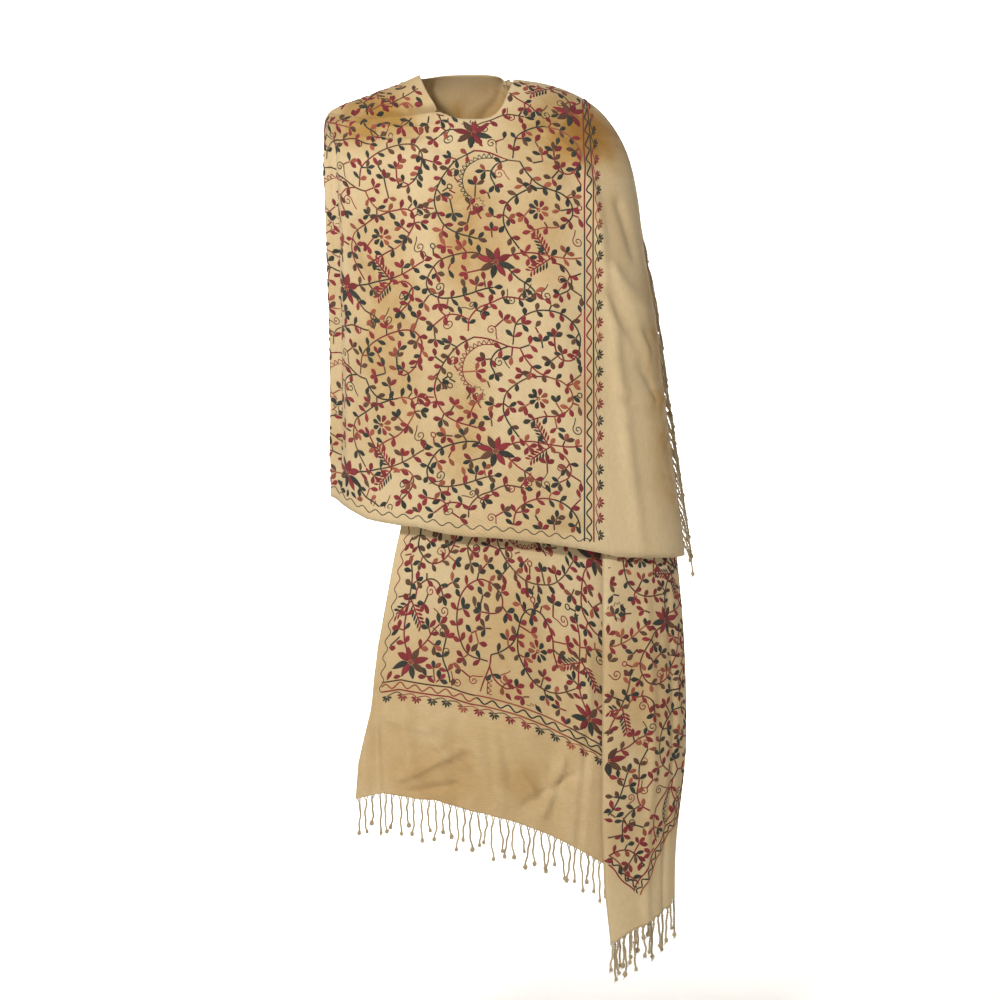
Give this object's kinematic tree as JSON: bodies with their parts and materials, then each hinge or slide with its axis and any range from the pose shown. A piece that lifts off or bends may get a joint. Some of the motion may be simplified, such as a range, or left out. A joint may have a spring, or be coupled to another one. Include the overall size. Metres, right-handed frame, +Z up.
{
  "type": "embroidered shawl",
  "caption": "Long stole worn wound round the shoulders, one end across the front and one hanging with a cascade fold, with fringed ends, for dressing a figure.",
  "frame": {"origin": "between the wearer's shoulders, where the cloth is carried, level with the slopes of the shoulders", "axes": "+Z up along the wearer, -Y towards the front, +X towards the right as seen from the front"},
  "size_m": [0.5358, 0.2656, 1.3191],
  "materials": {
    "cloth": "matte wool-blend twill with a faint sheen",
    "thread": "rayon embroidery thread, satin",
    "fringe": "twisted wool-blend yarn"
  },
  "bodies": {
    "root": {"front_wrap": "cloth", "left_shoulder": "cloth", "back_wrap": "cloth", "right_shoulder": "cloth", "front_end": "cloth", "fringe_front": "fringe", "fringe_side": "fringe"}
  },
  "joints": []
}
